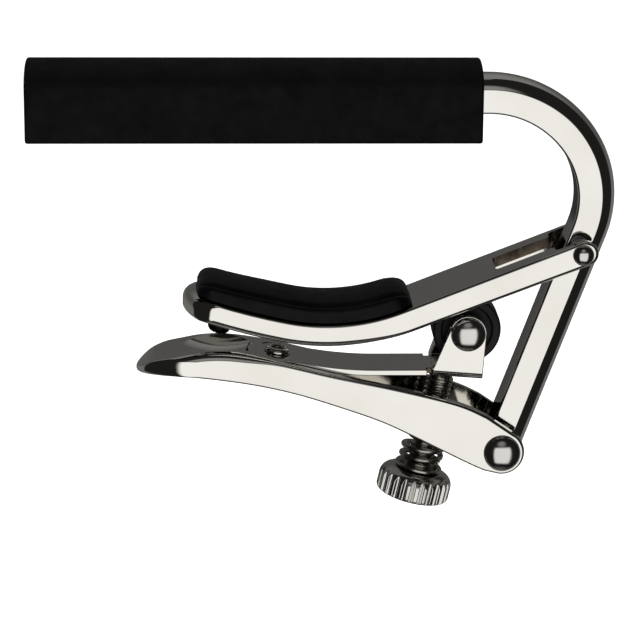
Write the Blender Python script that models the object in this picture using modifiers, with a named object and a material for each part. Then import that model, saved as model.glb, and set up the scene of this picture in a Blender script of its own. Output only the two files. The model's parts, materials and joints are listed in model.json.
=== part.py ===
"""A lever-action guitar capo at rest: a bent bar with a rubber sleeve, and a hinged jaw that an
over-centre lever and roller close on the back of the neck.

Metres, +Z up. The origin is the middle of the sleeve's flat string face, +X points at the bend, -Y at
the player.
"""

import math

import bmesh
import bpy
from mathutils import Matrix, Vector

MM = 0.001
GAP = 0.15 * MM  # between neighbours that touch on the real object
SIDE_GAP = 0.1 * MM  # running clearance along an axle

# Bent bar: flat inside, crowned outside, swept along its inner face
BAR_WIDTH = 5.2 * MM
BAR_DEPTH = 5.0 * MM
BAR_SIDE = 2.95 * MM
BAR_FLOOR = 3.25 * MM
BAR_START = -27.0 * MM
BEND_START = 29.8 * MM
BEND_RADII = (11.85 * MM, 10.45 * MM)
BEND_TURNS = (60.0, 50.0)
LEG_TILT = math.radians(sum(BEND_TURNS) - 90)
JAW_PIVOT_ALONG = 2.3 * MM
LEVER_PIVOT_ALONG = 30.65 * MM
PIVOT_DEPTH = 2.0 * MM

# Fret sleeve
SLEEVE_LENGTH = 57.6 * MM
SLEEVE_WIDTH = 11.0 * MM
SLEEVE_SIDE = 7.0 * MM
SLEEVE_HEIGHT = 9.95 * MM

# Jaw: a channel open downwards, a straight arm that runs into a saddle
JAW_WIDTH = 12.0 * MM
JAW_WALL = 1.3 * MM
JAW_WEB = 1.3 * MM
JAW_TILT = math.radians(21.5)
JAW_ARM = 24.2 * MM
JAW_RISE = 1.5 * MM  # the web's top above the pivot
SADDLE_RADII = (26.0 * MM, 85.0 * MM)
SADDLE_TURNS = (33.0, 9.4)
JAW_HEIGHTS = (2.95 * MM, 3.25 * MM)  # side wall at the rounded end and at the pivot
JAW_NOSE = 4.2 * MM  # how far the rounded end reaches, seen from above
JAW_END = 0.4 * MM  # the far end's centre, past the pivot
SLOT_LENGTH = 11.6 * MM
SLOT_WIDTH = 5.7 * MM
EAR_LENGTH = 3.4 * MM

# Pad
PAD_WIDTH = 11.2 * MM
PAD_HEIGHT = 2.8 * MM
PAD_SPAN = (1.9 * MM, 30.4 * MM)  # along the web from the jaw's tip
PEG_ALONG = (6.2 * MM, 26.0 * MM)
PEG_RADIUS = 1.5 * MM
PEG_LENGTH = 5.0 * MM

# Lever: a channel open upwards, closed at the thumb tab
LEVER_WIDTH = 11.0 * MM
LEVER_WALL = 1.3 * MM
LEVER_END = 2.95 * MM
TAB_TIP = (-15.3 * MM, -30.3 * MM)
TAB_REACH = 8.0 * MM
DISH_CENTER = (-4.6 * MM, -27.55 * MM)
DISH_SIZE = (4.8, 4.3, 1.5)  # half length, half width and depth of the thumb dish
LEVER_OPEN_RADIUS = 3.9 * MM  # round the pivot, only the side walls are left

# Roller arm: a spring strap that ends in a clevis
ARM_WIDTH = 7.8 * MM
ARM_THICKNESS = 0.75 * MM
ARM_ROOT = (3.05 * MM, -28.65 * MM)
ARM_TILT = math.radians(-9.3)
ARM_LEFT = 3.9 * MM
ARM_STRAIGHT = 5.2 * MM
ARM_BEND = 48.0 * MM
ARM_BASE_END = 29.6 * MM
EAR_OUTER = 4.3 * MM
EAR_THICKNESS = 0.8 * MM
EAR_TOP = 2.4 * MM
EAR_FOOT = 23.1 * MM
FOOT_DROP = 0.5 * MM  # the clevis leans down at its end
NOTCH_WIDTH = 0.7 * MM
NOTCH_INNER = 2.9 * MM
ROLLER_AXLE = (27.6 * MM, -25.25 * MM)
ROLLER_RADIUS = 4.45 * MM
ROLLER_HALF_WIDTH = 2.3 * MM
ROLLER_BORE = 2.2 * MM

# Adjusting screw: it leans with the lever's top edge
SCREW_FOOT = (20.9 * MM, -48.3 * MM)  # the knob's bottom face, on the axis
SCREW_LEAN = math.radians(12.5)
SCREW_RADIUS = 1.75 * MM
SCREW_LENGTH = 17.3 * MM
THREAD_PITCH = 0.7 * MM
KNOB_RADIUS = 4.85 * MM
KNOB_HEIGHT = 2.7 * MM
KNOB_SHOULDER = 1.0 * MM
FLUTES = 26
SPRING_RADIUS = 2.55 * MM
SPRING_WIRE = 0.38 * MM
SPRING_TURNS = 2.25


def clear_scene():
    for obj in list(bpy.data.objects):
        bpy.data.objects.remove(obj, do_unlink=True)


def new_collection(name, hidden=False):
    made = bpy.data.collections.new(name)
    made.hide_render = hidden
    bpy.context.scene.collection.children.link(made)
    return made


def material(name, color, roughness, metallic=0.0):
    made = bpy.data.materials.new(name)
    made.use_nodes = True
    shader = made.node_tree.nodes["Principled BSDF"]
    shader.inputs["Base Color"].default_value = (*color, 1.0)
    shader.inputs["Roughness"].default_value = roughness
    shader.inputs["Metallic"].default_value = metallic
    return made


def part(name, obj, look):
    """Files a finished object in the capo's collection under its own name and material."""
    obj.name = obj.data.name = name
    obj.data.materials.clear()
    obj.data.materials.append(look)
    for collection in list(obj.users_collection):
        collection.objects.unlink(obj)
    CAPO.objects.link(obj)
    if obj.type == "MESH":
        obj.data.shade_smooth()
        obj.data.set_sharp_from_angle(angle=math.radians(30))
    return obj


def as_cutter(obj):
    obj.display_type = "WIRE"
    obj.hide_render = True
    for collection in list(obj.users_collection):
        collection.objects.unlink(obj)
    CUTTERS.objects.link(obj)
    return obj


def boolean(obj, other, operation="DIFFERENCE"):
    modifier = obj.modifiers.new(operation.lower(), "BOOLEAN")
    modifier.operation = operation
    modifier.solver = "EXACT"
    modifier.object = as_cutter(other)
    return obj


def bevel(obj, width, segments=2, angle=35):
    modifier = obj.modifiers.new("edges", "BEVEL")
    modifier.width = width
    modifier.segments = segments
    modifier.limit_method = "ANGLE"
    modifier.angle_limit = math.radians(angle)
    return obj


def meshed(obj):
    """The object's evaluated shape as a welded mesh object in the same place."""
    bpy.context.view_layer.update()
    graph = bpy.context.evaluated_depsgraph_get()
    mesh = bpy.data.meshes.new_from_object(obj.evaluated_get(graph))
    shape = bmesh.new()
    shape.from_mesh(mesh)
    bmesh.ops.remove_doubles(shape, verts=shape.verts, dist=1e-6)
    bmesh.ops.recalc_face_normals(shape, faces=shape.faces)
    shape.to_mesh(mesh)
    shape.free()
    made = bpy.data.objects.new(obj.name, mesh)
    bpy.context.scene.collection.objects.link(made)
    made.matrix_world = obj.matrix_world
    bpy.data.objects.remove(obj, do_unlink=True)
    return made


def poly_curve(name, points, closed=False, dimensions="3D"):
    curve = bpy.data.curves.new(name, "CURVE")
    curve.dimensions = dimensions
    spline = curve.splines.new("POLY")
    spline.points.add(len(points) - 1)
    for target, point in zip(spline.points, points):
        target.co = (*point, *([0.0] * (3 - len(point))), 1.0)
    spline.use_cyclic_u = closed
    obj = bpy.data.objects.new(name, curve)
    bpy.context.scene.collection.objects.link(obj)
    return obj


def plate(name, outline, half_width, side_view=True):
    """A flat outline given half_width to each side: in side view it lies in XZ, in plan view in XY."""
    obj = poly_curve(name, outline, closed=True, dimensions="2D")
    obj.data.fill_mode = "BOTH"
    obj.data.extrude = half_width
    if side_view:
        obj.matrix_world = Matrix.Rotation(math.pi / 2, 4, "X")
    return meshed(obj)


def turned(name, profile, steps=24, closed=False):
    """A profile of (radius, height) points turned about Z; its outer side runs from top to bottom."""
    mesh = bpy.data.meshes.new(name)
    edges = [(i, i + 1) for i in range(len(profile) - 1)]
    if closed:
        edges.append((len(profile) - 1, 0))
    mesh.from_pydata([(r, 0.0, z) for r, z in profile], edges, [])
    obj = bpy.data.objects.new(name, mesh)
    bpy.context.scene.collection.objects.link(obj)
    modifier = obj.modifiers.new("turn", "SCREW")
    modifier.steps = modifier.render_steps = steps
    modifier.use_merge_vertices = True
    modifier.merge_threshold = 1e-6
    return obj


def ring(name, inner, outer, bottom, top, steps=24):
    profile = [(inner, top), (outer, top), (outer, bottom), (inner, bottom)]
    return turned(name, profile, steps, closed=True)


def cylinder(name, radius, bottom, top, steps=24):
    return turned(name, [(0, top), (radius, top), (radius, bottom), (0, bottom)], steps)


def across(obj, point):
    """Puts a shape turned about Z on a cross axle through the side-view point, its top towards -Y."""
    place = Matrix.Translation((point[0], 0, point[1]))
    obj.matrix_world = place @ Matrix.Rotation(math.pi / 2, 4, "X")
    return obj


def on_screw(obj):
    """Puts a shape turned about Z on the leaning screw axis, with height 0 at the knob's bottom face."""
    place = Matrix.Translation((SCREW_FOOT[0], 0, SCREW_FOOT[1]))
    obj.matrix_world = place @ Matrix.Rotation(SCREW_LEAN, 4, "Y")
    return obj


def arc(center, radius, start, end, steps):
    """Points on an arc from start to end, in degrees anticlockwise from +X."""
    angles = [math.radians(start + (end - start) * i / steps) for i in range(steps + 1)]
    return [(center[0] + radius * math.cos(a), center[1] + radius * math.sin(a)) for a in angles]


def walk(start, heading, stretches, step_angle=4.0):
    """Points and headings along ("line", length) and ("arc", radius, degrees) stretches."""
    point, stations = Vector(start), [(Vector(start), heading)]
    for stretch in stretches:
        if stretch[0] == "line":
            point = point + stretch[1] * Vector((math.cos(heading), math.sin(heading)))
            stations.append((point, heading))
            continue
        _, radius, degrees = stretch
        side = math.copysign(1.0, degrees)
        center = point + side * radius * Vector((-math.sin(heading), math.cos(heading)))
        steps = max(2, round(abs(degrees) / step_angle))
        first = heading
        for i in range(1, steps + 1):
            heading = first + math.radians(degrees) * i / steps
            point = center + side * radius * Vector((math.sin(heading), -math.cos(heading)))
            stations.append((point, heading))
    return stations


def offset(stations, distance):
    """The stations' points moved left by a distance, which may be a function of the share walked."""
    lengths = [0.0]
    for (a, _), (b, _) in zip(stations, stations[1:]):
        lengths.append(lengths[-1] + (b - a).length)
    moved = []
    for (point, heading), length in zip(stations, lengths):
        value = distance(length / lengths[-1]) if callable(distance) else distance
        moved.append(point + value * Vector((-math.sin(heading), math.cos(heading))))
    return moved


def smooth(points, steps=4):
    """A Catmull-Rom curve through the points."""
    ends = [Vector(point) for point in (points[0], *points, points[-1])]
    found = []
    for a, b, c, d in zip(ends, ends[1:], ends[2:], ends[3:]):
        for i in range(steps):
            t = i / steps
            square = (2 * a - 5 * b + 4 * c - d) * t**2
            cube = (3 * b - a - 3 * c + d) * t**3
            found.append(0.5 * (2 * b + (c - a) * t + square + cube))
    return [*found, Vector(points[-1])]


def crowned(width, side, height, steps=8):
    """A section flat below and elliptical on top, as (across, up) points."""
    half, rise = width / 2, height - side
    turns = [math.pi * i / steps for i in range(steps + 1)]
    crown = [(half * math.cos(t), side + rise * math.sin(t)) for t in turns]
    return [(-half, 0.0), (half, 0.0), *crown]


def arched(width, side, height, steps=8):
    """The same with a circular crown, which meets the sides at an angle."""
    half, rise = width / 2, height - side
    radius = (half**2 + rise**2) / (2 * rise)
    spread = math.degrees(math.asin(half / radius))
    crown = arc((0, height - radius), radius, 90 - spread, 90 + spread, steps)
    return [(-half, 0.0), (half, 0.0), *crown]


def bar_stations():
    stretches = [("line", BEND_START - BAR_START)]
    stretches += [("arc", radius, -turn) for radius, turn in zip(BEND_RADII, BEND_TURNS)]
    stretches += [("line", LEVER_PIVOT_ALONG + PIVOT_DEPTH + BAR_DEPTH)]
    return walk((BAR_START, BAR_FLOOR), 0.0, stretches, step_angle=5.0)


def on_leg(along, depth):
    """A point of the straight leg, along from the bend's end and deep from the inner face."""
    start, heading = bar_stations()[-2]
    forward = Vector((math.cos(heading), math.sin(heading)))
    outward = Vector((-math.sin(heading), math.cos(heading)))
    return start + along * forward + depth * outward


JAW_PIVOT = on_leg(JAW_PIVOT_ALONG, PIVOT_DEPTH)
LEVER_PIVOT = on_leg(LEVER_PIVOT_ALONG, PIVOT_DEPTH)


def swept_bar(name, stations, clearance=0.0):
    """The bar's section swept along the stations."""
    outline = arched(BAR_WIDTH + 2 * clearance, BAR_SIDE + clearance, BAR_DEPTH + clearance)
    section = poly_curve(name + "_section", [(-y, x) for x, y in outline], True, "2D")
    path = poly_curve(name, [point for point, _ in stations], dimensions="2D")
    path.data.bevel_mode = "OBJECT"
    path.data.bevel_object = section
    path.data.use_fill_caps = True
    path.matrix_world = Matrix.Rotation(math.pi / 2, 4, "X")
    made = meshed(path)
    bpy.data.objects.remove(section, do_unlink=True)
    return made


def frame_bar():
    bar = swept_bar("bar", bar_stations())
    end = LEVER_PIVOT_ALONG + 0.3 * MM
    middle, reach = BAR_DEPTH / 2, BAR_DEPTH / 2 + 0.02 * MM
    cap = [on_leg(end + reach * math.cos(a), middle + reach * math.sin(a))
           for a in (math.radians(90 - 15 * i) for i in range(13))]
    outer, inner = on_leg(end, 9 * MM), on_leg(end, -3 * MM)
    right, left, top = 60 * MM, -40 * MM, 20 * MM
    keep = [(right, top), (right, outer[1]), outer, *cap, inner, (left, inner[1]), (left, top)]
    boolean(bar, plate("bar_end", keep, 6 * MM), "INTERSECT")
    boolean(bar, across(cylinder("jaw_hole", 1.0 * MM, -5 * MM, 5 * MM), JAW_PIVOT))
    boolean(bar, across(cylinder("lever_hole", 1.35 * MM, -5 * MM, 5 * MM), LEVER_PIVOT))
    return part("frame_bar", bar, NICKEL)


def fret_sleeve():
    """A rubber tube over the bar, closed at its left end."""
    half = SLEEVE_LENGTH / 2
    outline = crowned(SLEEVE_WIDTH, SLEEVE_SIDE, SLEEVE_HEIGHT, steps=12)
    sleeve = poly_curve("sleeve", outline, True, "2D")
    sleeve.data.fill_mode = "BOTH"
    sleeve.data.extrude = half
    sleeve.matrix_world = Matrix(((0, 0, 1, 0), (1, 0, 0, 0), (0, 1, 0, 0), (0, 0, 0, 1)))
    sleeve = meshed(sleeve)
    bore = walk((BAR_START - GAP, BAR_FLOOR - GAP), 0.0, [("line", 1.1 * SLEEVE_LENGTH)])
    boolean(sleeve, swept_bar("sleeve_bore", bore, GAP))
    return part("fret_sleeve", bevel(sleeve, 0.35 * MM), RUBBER)


def rivet(name, point, shank, head, half_length, rise):
    """A cross rivet with a domed head at each end."""
    dome = [(head * math.cos(math.radians(a)), half_length + rise * math.sin(math.radians(a)))
            for a in (90, 65, 40, 15, 0)]
    upper = [(max(r, 0.0), z) for r, z in dome]
    upper[0] = (0.0, half_length + rise)
    profile = [*upper, (shank, half_length), (shank, -half_length)]
    profile += [(r, -z) for r, z in reversed(upper)]
    return part(name, across(turned(name, profile), point), NICKEL_DARK)


def washers(name, point, inner, outer, near, far, look):
    """A pair of spacer washers, one each side of the middle."""
    for side, bottom, top in (("near", near, far), ("far", -far, -near)):
        part(f"{name}_{side}", across(ring(name, inner, outer, bottom, top), point), look)


def eased(value, low, high):
    """A smooth step from 0 at low to 1 at high."""
    share = min(1.0, max(0.0, (value - low) / (high - low)))
    return share * share * (3 - 2 * share)


def jaw_stations():
    """The web's top line from the jaw's rounded end to above its pivot."""
    start, heading = Vector(JAW_PIVOT), JAW_TILT
    start = start + JAW_RISE * Vector((-math.sin(heading), math.cos(heading)))
    back = walk(start, heading + math.pi, [
        ("line", JAW_ARM),
        ("arc", SADDLE_RADII[0], -SADDLE_TURNS[0]),
        ("arc", SADDLE_RADII[1], -SADDLE_TURNS[1]),
    ], step_angle=2.5)
    return [(point, heading - math.pi) for point, heading in reversed(back)]


def jaw_point(along, rise):
    """A point a distance along the web from the tip and above it, with the web's heading there."""
    stations = jaw_stations()
    for (a, _), (b, heading) in zip(stations, stations[1:]):
        length = (b - a).length
        if along <= length:
            up = Vector((-math.sin(heading), math.cos(heading)))
            return a + (b - a) * along / length + rise * up, heading
        along -= length
    raise ValueError("past the pivot")


def rounded_end(left, right, half_width, corner, steps=6):
    """A plan outline with rounded left corners."""
    lower = arc((left + corner, -half_width + corner), corner, 180, 270, steps)
    upper = arc((left + corner, half_width - corner), corner, 90, 180, steps)
    return [*upper, *lower, (right, -half_width), (right, half_width)]


def oval_end(left, right, half_width, reach, steps=14):
    """A plan outline whose left end is half an ellipse."""
    turns = [math.radians(90 + 180 * i / steps) for i in range(steps + 1)]
    tip = [(left + reach * (1 + math.cos(t)), half_width * math.sin(t)) for t in turns]
    return [*tip, (right, -half_width), (right, half_width)]


def jaw_channel():
    stations = jaw_stations()
    left = stations[0][0][0]

    thin, thick = JAW_HEIGHTS

    def height(share):
        return -(thin + (thick - thin) * eased(share, 0.45, 0.65))

    top = offset(stations, 0.0)
    tilt = math.degrees(JAW_TILT)
    along = Vector((math.cos(JAW_TILT), math.sin(JAW_TILT)))
    middle = JAW_PIVOT + JAW_END * along + (JAW_RISE - thick / 2) * Vector((-along[1], along[0]))
    end = arc(middle, thick / 2, 90 + tilt, tilt - 90, 10)
    jaw = plate("jaw", [*top, *end, *reversed(offset(stations, height))], JAW_WIDTH / 2 + 1 * MM)
    plan = oval_end(left, 60 * MM, JAW_WIDTH / 2, JAW_NOSE)
    keep = plate("jaw_plan", plan, 60 * MM, side_view=False)
    boolean(jaw, keep, "INTERSECT")

    below = [(60 * MM, -60 * MM), (-30 * MM, -60 * MM)]
    under = offset(stations, -JAW_WEB)
    cavity = plate("jaw_cavity", [*under, under[-1] + 20 * MM * along, *below], 20 * MM)
    inner_half, inner_reach = JAW_WIDTH / 2 - JAW_WALL, JAW_NOSE - 0.6 * JAW_WALL
    inner_plan = oval_end(left + JAW_WALL, 60 * MM, inner_half, inner_reach)
    boolean(cavity, plate("jaw_cavity_plan", inner_plan, 70 * MM, side_view=False), "INTERSECT")
    boolean(jaw, cavity)

    slot_left = JAW_PIVOT[0] - SLOT_LENGTH * math.cos(JAW_TILT)
    slot = rounded_end(slot_left, 60 * MM, SLOT_WIDTH / 2, 0.8 * MM, steps=3)
    boolean(jaw, plate("jaw_slot", slot, 40 * MM, side_view=False))
    ears = rounded_end(JAW_PIVOT[0] - EAR_LENGTH, 60 * MM, inner_half, 0.8 * MM, steps=3)
    boolean(jaw, plate("jaw_ears", ears, 41 * MM, side_view=False))
    boolean(jaw, across(cylinder("jaw_rivet_hole", 1.0 * MM, -9 * MM, 9 * MM), JAW_PIVOT))
    for index, along in enumerate(PEG_ALONG):
        boolean(jaw, peg(f"peg_hole_{index}", along, PEG_RADIUS + GAP, -6 * MM, 3 * MM))
    return part("jaw_channel", bevel(jaw, 0.3 * MM), NICKEL)


def peg(name, along, radius, bottom, top):
    """A cylinder square to the web, with heights counted from its top."""
    point, heading = jaw_point(along, 0.0)
    obj = cylinder(name, radius, bottom, top, steps=16)
    place = Matrix.Translation((point[0], 0, point[1]))
    obj.matrix_world = place @ Matrix.Rotation(-heading, 4, "Y")
    return obj


def jaw_pad():
    """A rubber cushion along the saddle, held by two pegs through the web."""
    first, last = PAD_SPAN
    count = 14
    shares = [i / count for i in range(count + 1)]
    length = last - first
    lower = [jaw_point(first + length * share, GAP)[0] for share in shares]

    def rise(share):
        edge = min(share, 1 - share) * length
        full = PAD_HEIGHT * (0.88 + 0.12 * eased(share, 0.05, 0.35))
        radius = 0.72 * PAD_HEIGHT
        if edge >= radius:
            return full
        return max(full - radius + math.sqrt(radius**2 - (radius - edge) ** 2), 0.9 * MM)

    fine = [0.0, 0.01, 0.03, 0.06, *shares[1:-1], 0.94, 0.97, 0.99, 1.0]
    upper = [jaw_point(first + length * share, rise(share))[0] for share in sorted(fine)]
    pad = plate("pad", [*lower, *reversed(upper)], PAD_WIDTH / 2)
    for index, along in enumerate(PEG_ALONG):
        length = PEG_LENGTH if index == 0 else 0.6 * PEG_LENGTH
        boolean(pad, peg(f"peg_{index}", along, PEG_RADIUS, -length, 1.0 * MM), "UNION")
    return part("jaw_pad", bevel(pad, 0.7 * MM), RUBBER)


def lever_outlines():
    """The lever's side outline, and the cavity that leaves its walls and floor."""
    end = (LEVER_PIVOT[0], LEVER_PIVOT[1])
    rim = millimetres([(-13.0, -28.85), (-9.7, -28.05), (-6.5, -27.5), (-3.0, -27.5), (0.6, -28.1),
                       (5.6, -29.3), (10.5, -30.5), (18.8, -32.3), (26.3, -34.25), (30.2, -36.0)])
    belly = millimetres([(30.0, -43.45), (27.7, -42.4), (20.0, -38.45), (15.9, -36.55), (10.75, -34.7),
                         (5.6, -33.05), (0.5, -31.85), (-5.0, -31.0), (-9.7, -30.6)])
    rim = smooth([TAB_TIP, *rim], 3)
    belly = smooth([*belly, (TAB_TIP[0] + 0.4 * MM, TAB_TIP[1] - 0.5 * MM)], 3)
    outline = [*rim, *arc(end, LEVER_END, 62, -98, 14), *belly]
    floor = millimetres([(-1.0, -26.0), (-1.0, -28.75), (1.4, -29.15), (3.0, -29.75), (6.5, -30.5),
                         (9.5, -32.3), (13.0, -34.1), (16.5, -35.5), (20.6, -37.3), (25.1, -39.6),
                         (27.2, -40.7)])
    x, z = end[0] - LEVER_OPEN_RADIUS, end[1]
    mouth = [(x, z + 0.4 * MM), (x, z - 9 * MM), (60 * MM, z - 9 * MM), (60 * MM, -26 * MM)]
    return outline, [*floor, *mouth]


def millimetres(points):
    return [(x * MM, z * MM) for x, z in points]


def lever_channel():
    outline, cavity = lever_outlines()
    lever = plate("lever", outline, LEVER_WIDTH / 2 + 1 * MM)
    plan = oval_end(TAB_TIP[0], 60 * MM, LEVER_WIDTH / 2, TAB_REACH, 15)
    boolean(lever, plate("lever_plan", plan, 60 * MM, side_view=False), "INTERSECT")
    hollow = plate("lever_hollow", cavity, 20 * MM)
    half = LEVER_WIDTH / 2 - LEVER_WALL
    inner = rounded_end(-1.5 * MM, 61 * MM, half, half - 0.1 * MM)
    boolean(hollow, plate("lever_hollow_plan", inner, 70 * MM, side_view=False), "INTERSECT")
    boolean(lever, hollow)
    boolean(lever, thumb_dish())
    boolean(lever, across(cylinder("lever_rivet_hole", 1.35 * MM, -9 * MM, 9 * MM), LEVER_PIVOT))
    boolean(lever, on_screw(cylinder("bush_hole", 2.6 * MM, 4 * MM, 14 * MM)))
    boolean(lever, on_strap(cylinder("strap_rivet_hole", 1.1 * MM, -2.6 * MM, 3 * MM, 16)))
    return part("lever_channel", bevel(lever, 0.25 * MM), NICKEL)


def thumb_dish():
    """A spoon-shaped hollow in the tab's top, under the pad's peg."""
    turns = [math.radians(90 - 15 * i) for i in range(13)]
    ball = [(MM * max(0.0, math.cos(t)), MM * math.sin(t)) for t in turns]
    ball[0], ball[-1] = (0.0, MM), (0.0, -MM)
    dish = turned("thumb_dish", ball, 28)
    place = Matrix.Translation((DISH_CENTER[0], 0, DISH_CENTER[1]))
    dish.matrix_world = place @ Matrix.Diagonal((*DISH_SIZE, 1.0))
    return dish


def on_strap(obj):
    """Puts a shape turned about Z square to the strap at its rivet, with height 0 at its top face."""
    place = Matrix.Translation((ARM_ROOT[0], 0, ARM_ROOT[1]))
    obj.matrix_world = place @ Matrix.Rotation(-ARM_TILT, 4, "Y")
    return obj


def screw_bush():
    """The threaded insert that the screw runs in; its shank fills the hole in the lever's floor."""
    shank = 2.6 * MM - GAP
    bore = SCREW_RADIUS + 0.05 * MM
    profile = [(bore, 10.9 * MM), (shank, 10.9 * MM), (shank, 7.85 * MM), (bore, 7.85 * MM)]
    return part("screw_bush", on_screw(turned("bush", profile, closed=True)), STEEL)


def strap_rivet():
    """A hollow-headed rivet, its flange over the strap."""
    head, shank, rise = 1.75 * MM, 0.9 * MM, 0.45 * MM
    profile = [(0, -0.5 * MM), (0.55 * MM, -0.4 * MM), (0.95 * MM, rise), (head, rise * 0.8), (head, GAP),
               (shank, GAP), (shank, -2.4 * MM), (0, -2.4 * MM)]
    return part("strap_rivet", on_strap(turned("strap_rivet", profile, 20)), NICKEL_DARK)


def arm_stations():
    """The strap's top line: straight at its root, bent level, then down a little under the roller."""
    start = Vector(ARM_ROOT) - ARM_LEFT * Vector((math.cos(ARM_TILT), math.sin(ARM_TILT)))
    stretches = [("line", ARM_LEFT + ARM_STRAIGHT), ("arc", ARM_BEND, -math.degrees(ARM_TILT))]
    stations = walk(start, ARM_TILT, stretches, step_angle=1.5)
    level = stations[-1][0][1]
    slope = math.atan2(-FOOT_DROP, ARM_BASE_END - EAR_FOOT)
    foot, end = Vector((EAR_FOOT, level)), Vector((ARM_BASE_END, level - FOOT_DROP))
    return [*stations, (foot, 0.0), (end, slope)]


def roller_arm():
    stations = arm_stations()
    outline = [*offset(stations, 0.0), *reversed(offset(stations, -ARM_THICKNESS))]
    arm = plate("arm", outline, ARM_WIDTH / 2)
    left = stations[0][0][0]
    half = ARM_WIDTH / 2
    plan = rounded_end(left, ARM_BASE_END, half, half - 0.05 * MM, steps=8)
    boolean(arm, plate("arm_plan", plan, 60 * MM, side_view=False), "INTERSECT")
    for side in (-1, 1):
        left, right = EAR_FOOT - NOTCH_WIDTH, EAR_FOOT
        low, high = side * NOTCH_INNER, side * 6 * MM
        notch = [(left, low), (right, low), (right, high), (left, high)]
        boolean(arm, plate("notch", notch, 60 * MM, side_view=False))
    base = stations[-2][0][1] - ARM_THICKNESS
    for side in (-1, 1):
        ear = plate("clevis_ear", ear_outline(base), EAR_THICKNESS / 2)
        ear.data.transform(Matrix.Translation((0, 0, side * (EAR_OUTER - EAR_THICKNESS / 2))))
        boolean(arm, ear, "UNION")
    boolean(arm, across(cylinder("axle_hole", 1.1 * MM, -9 * MM, 9 * MM), ROLLER_AXLE))
    boolean(arm, on_strap(cylinder("strap_hole", 1.1 * MM, -3 * MM, 3 * MM, 16)))
    return part("roller_arm", arm, NICKEL)


def ear_outline(base):
    """One clevis ear in side view: a foot as long as the base, slanting in to a round top about the axle."""
    x, z = ROLLER_AXLE
    return [(EAR_FOOT, base), (ARM_BASE_END, base - FOOT_DROP), *arc((x, z), EAR_TOP, 2, 155, 10)]


def roller_tyre():
    r, h, chamfer = ROLLER_RADIUS, ROLLER_HALF_WIDTH, 0.45 * MM
    recess = h - 0.3 * MM
    profile = [(ROLLER_BORE, recess), (3.1 * MM, recess), (3.4 * MM, h)]
    profile += [(r - chamfer, h), (r, h - chamfer)]
    profile += [(a, -b) for a, b in reversed(profile)]
    tyre = turned("tyre", profile, 36, closed=True)
    return part("roller_tyre", across(tyre, ROLLER_AXLE), NYLON)


def knob():
    """The fluted thumb knob with a domed shoulder and a bore for the screw."""
    points = []
    for i in range(FLUTES):
        for share, depth in ((0.0, 0.0), (0.35, 0.0), (0.6, 0.32), (0.8, 0.32)):
            angle = 2 * math.pi * (i + share) / FLUTES
            radius = KNOB_RADIUS - depth * MM
            points.append((radius * math.cos(angle), radius * math.sin(angle)))
    body = plate("knob", points, 5 * MM, side_view=False)
    top, shoulder = KNOB_HEIGHT, KNOB_HEIGHT + KNOB_SHOULDER
    bore, r = SCREW_RADIUS - 0.2 * MM, KNOB_RADIUS
    outer = r + 0.05 * MM
    profile = [(bore, shoulder), (2.7 * MM, shoulder), (3.6 * MM, shoulder - 0.15 * MM)]
    profile += [(4.4 * MM, top + 0.4 * MM), (outer, top - 0.2 * MM), (outer, 0.35 * MM)]
    profile += [(r - 0.4 * MM, 0), (bore, 0)]
    boolean(body, on_screw(turned("knob_envelope", profile, 32, closed=True)), "INTERSECT")
    return part("thumb_knob", on_screw(body), NICKEL_DARK)


def adjusting_screw():
    """The threaded shank; its lower end is turned down to sit in the knob."""
    root, crest = SCREW_RADIUS - 0.25 * MM, SCREW_RADIUS
    seat = SCREW_RADIUS - 0.2 * MM - GAP
    profile = [(0, SCREW_LENGTH), (root - 0.4 * MM, SCREW_LENGTH), (root, SCREW_LENGTH - 0.4 * MM)]
    height = SCREW_LENGTH - 0.6 * MM
    while height > KNOB_HEIGHT + KNOB_SHOULDER + 2 * THREAD_PITCH:
        profile += [(crest, height), (crest, height - 0.15 * MM)]
        profile += [(root, height - 0.4 * MM), (root, height - 0.5 * MM)]
        height -= THREAD_PITCH
    foot = KNOB_HEIGHT + KNOB_SHOULDER + GAP
    profile += [(crest, height), (crest, foot), (seat, foot), (seat, 0.3 * MM), (0, 0.3 * MM)]
    return part("adjusting_screw", on_screw(turned("screw", profile, 16)), STEEL)


def spring_seat():
    """The stepped collar that carries the spring on the knob's shoulder."""
    base = KNOB_HEIGHT + KNOB_SHOULDER + GAP
    inner = SCREW_RADIUS + 0.12 * MM
    step = SPRING_RADIUS - SPRING_WIRE - 0.12 * MM
    top, ledge, flange = base + 0.9 * MM, base + 0.45 * MM, 3.1 * MM
    profile = [(inner, top), (step, top), (step, ledge), (flange, ledge), (flange, base), (inner, base)]
    return part("spring_seat", on_screw(turned("seat", profile, closed=True)), STEEL)


def tension_spring():
    low = KNOB_HEIGHT + KNOB_SHOULDER + GAP + 0.45 * MM + SPRING_WIRE + GAP
    high = 7.3 * MM
    steps = 14
    count = round(steps * SPRING_TURNS)
    points = []
    for i in range(count + 1):
        angle, height = 2 * math.pi * i / steps, low + (high - low) * i / count
        points.append((SPRING_RADIUS * math.cos(angle), SPRING_RADIUS * math.sin(angle), height))
    spring = poly_curve("spring", points)
    spring.data.bevel_depth = SPRING_WIRE
    spring.data.bevel_resolution = 2
    spring.data.use_fill_caps = True
    return part("tension_spring", on_screw(spring), STEEL)


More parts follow.
